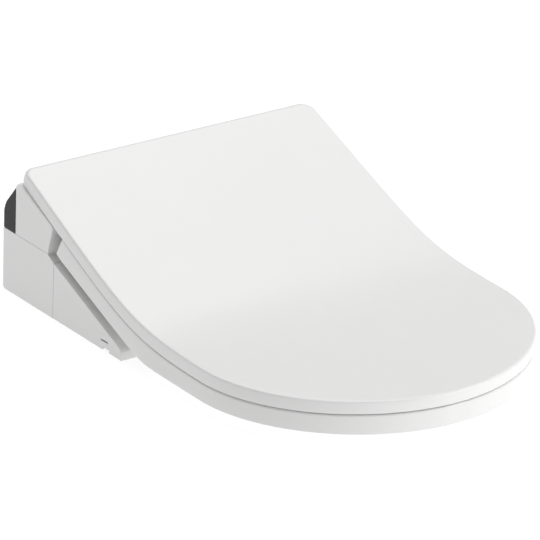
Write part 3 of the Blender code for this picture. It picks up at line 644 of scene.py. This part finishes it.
def make_seat_ring():
    angles = [2 * math.pi * i / SEAT_STEPS for i in range(SEAT_STEPS)]
    holes, rims = [seat_hole(a) for a in angles], [seat_rim(a) for a in angles]
    bm = bmesh.new()
    columns = []
    for hole, rim, hole_out, rim_out in zip(holes, rims, outwards(holes), outwards(rims)):
        column = []
        for edge, inset, height, from_top in seat_section():
            near, far = hole + hole_out * inset, rim - rim_out * inset
            plan = near + (far - near) * edge
            surface = seat_top if from_top else seat_under
            plan = leaning(plan, surface(plan.y) + height - seat_under(plan.y))
            column.append(bm.verts.new((plan.x, LID_REAR_Y - plan.y, surface(plan.y) + height)))
        columns.append(column)
    for one, two in zip(columns, columns[1:] + columns[:1]):
        for j in range(len(one)):
            k = (j + 1) % len(one)
            bm.faces.new((one[j], two[j], two[k], one[k]))
    return new_mesh("seat_ring", bm, SEAT_SMOOTH_ANGLE)


def round_edges(piece, width, angle=EDGE_ANGLE, slide=True):
    edge = piece.modifiers.new("edge", "BEVEL")
    edge.width = width
    edge.segments = EDGE_SEGMENTS
    edge.limit_method = "ANGLE"
    edge.angle_limit = math.radians(angle)
    edge.harden_normals = True
    edge.loop_slide = slide


def make_seat_arm(label, low, high):
    """A hinge arm that rises from the seat into the hollow lid, up to the axis."""
    run = [ARM_START + i * ARM_STEP for i in range(ARM_UPPER_POINTS)]
    upper = [(LID_REAR_Y - s, lid_top(s) - ARM_DROP) for s in run]
    lower = [(y, z - ARM_THICKNESS) for y, z in upper[:ARM_LOWER_POINTS]]
    foot_s = (LID_REAR_Y - upper[-1][0], LID_REAR_Y - lower[-1][0])
    foot = [(LID_REAR_Y - s, seat_top(s) - ARM_SINK) for s in foot_s]
    arm = extruded(upper + foot + lower[::-1], low, high, f"seat_arm_{label}")
    change(arm, rod(low, high, KNUCKLE_RADIUS), "UNION")
    change(arm, rod(low - ARM_OVERCUT, high + ARM_OVERCUT, PIN_BORE), "DIFFERENCE")
    round_edges(arm, ARM_EDGE)
    dress(arm, "white_inner", "seat")


dress(make_seat_ring(), "white_shell", "seat", "seat_upper", "seat_lower")
for label, side in SIDES:
    inner = side * (HINGE_INNER_X + 2 * (KNUCKLE_WIDTH + HINGE_SIDE_GAP))
    outer = inner + side * ARM_WIDTH
    make_seat_arm(label, min(inner, outer), max(inner, outer))


# ---- rear unit ----
BEAD_FRONT, BEAD_REAR = 0.001, 0.006
BEAD_HEIGHT = 0.0015
BEAD_GAP = 0.0006
BEAD_WIDTH = 0.004
BEAD_STEPS = 12
BEAD_EDGE = 0.0003


def make_case_rim(label, side):
    """A bead along the case's upper side edge, which closes most of the gap under the lid."""
    low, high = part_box("top_case")
    front, rear = low.y + BEAD_FRONT, high.y - BEAD_REAR
    run = [front + (rear - front) * i / BEAD_STEPS for i in range(BEAD_STEPS + 1)]
    over = [(y, liner_height(LID_REAR_Y - y) - BEAD_GAP) for y in run]
    under = [(y, z - BEAD_HEIGHT) for y, z in over]
    ends = sorted((side * high.x, side * (high.x - BEAD_WIDTH)))
    bead = extruded(over + under[::-1], *ends, f"case_rim_{label}")
    round_edges(bead, BEAD_EDGE)
    dress(bead, "white_shell", "base")


for label, side in SIDES:
    make_case_rim(label, side)


# ---- dress the CAD nodes that stay ----
WELD_REACH = 0.00001
FLAT_ANGLE = 0.5
CAD_EDGE_ANGLE = 32


def soften(piece, width):
    """Fine rounded edges on a carried-over solid."""
    weld = piece.modifiers.new("weld", "WELD")
    weld.merge_threshold = WELD_REACH
    flat = piece.modifiers.new("flat", "DECIMATE")
    flat.decimate_type = "DISSOLVE"
    flat.angle_limit = math.radians(FLAT_ANGLE)
    if width:
        round_edges(piece, width, CAD_EDGE_ANGLE, slide=False)
    weight = piece.modifiers.new("weight", "WEIGHTED_NORMAL")
    weight.keep_sharp = False
    piece.data.shade_smooth()


SOFT_EDGE = {
    "base_case": 0.0010, "top_case": 0.0008, "rear_panel": 0.0010, "mounting_plate": 0.0008,
    "wing_cover_left": 0.0006, "wing_cover_right": 0.0006, "nozzle_housing": 0.0005,
    "nozzle_shutter": 0.0004, "water_heater": 0.0004, "main_board": 0.0002, "inlet_valve": 0.0004,
    "diverter_valve": 0.0004, "wand_motor": 0.0004, "dryer_motor": 0.0004,
    "dryer_housing": 0.0003, "drain_plug": 0.0004, "cord_gland": 0.0003,
}


def dress_nodes():
    slots = {row["node"]: row["material_slot"] for row in frame["record"]["subparts"]}
    for name, piece in frame["nodes"].items():
        piece.data.materials.clear()
        piece.data.materials.append(SLOTS[slots[name]])
        soften(piece, SOFT_EDGE.get(name, 0.0))


dress_nodes()


# ---- stage ----
LIGHT_TARGET = Vector((0, -0.2, 0.06))
FLOOR_SIZE = 30
FLOOR_DROP = 0.0002
FLOOR_TONES = 0.345, 0.355
FLOOR_GLOW = 0.77
WORLD_STRENGTH = 0.33


def light(name, place, size, power):
    data = bpy.data.lights.new(name, "AREA")
    data.energy = power
    data.size = size
    lamp = bpy.data.objects.new(name, data)
    scene.collection.objects.link(lamp)
    lamp.location = place
    lamp.rotation_euler = (LIGHT_TARGET - Vector(place)).to_track_quat("-Z", "Y").to_euler()


def make_floor():
    bm = bmesh.new()
    bmesh.ops.create_grid(bm, x_segments=1, y_segments=1, size=FLOOR_SIZE)
    for vertex in bm.verts:
        vertex.co.z = -FLOOR_DROP
    floor = new_mesh("floor", bm)
    kit = Nodes("floor")
    dark, pale = FLOOR_TONES
    kit.tint(kit.noise(scale=3), (dark,) * 3, (pale,) * 3)
    kit.shader.inputs["Roughness"].default_value = 1.0
    kit.shader.inputs["Specular IOR Level"].default_value = 0.0
    kit.shader.inputs["Emission Color"].default_value = (1, 1, 1, 1)
    kit.shader.inputs["Emission Strength"].default_value = FLOOR_GLOW
    floor.data.materials.append(kit.material)


def make_lights():
    world = bpy.data.worlds.new("studio")
    world.use_nodes = True
    background = world.node_tree.nodes["Background"]
    background.inputs["Color"].default_value = (1, 1, 1, 1)
    background.inputs["Strength"].default_value = WORLD_STRENGTH
    scene.world = world
    light("key", place=(1.96, -2.95, 1.40), size=2.6, power=77)
    light("top", place=(0.2, 0.95, 3.05), size=3.4, power=72)


make_floor()
make_lights()
scene.view_settings.view_transform = "Standard"
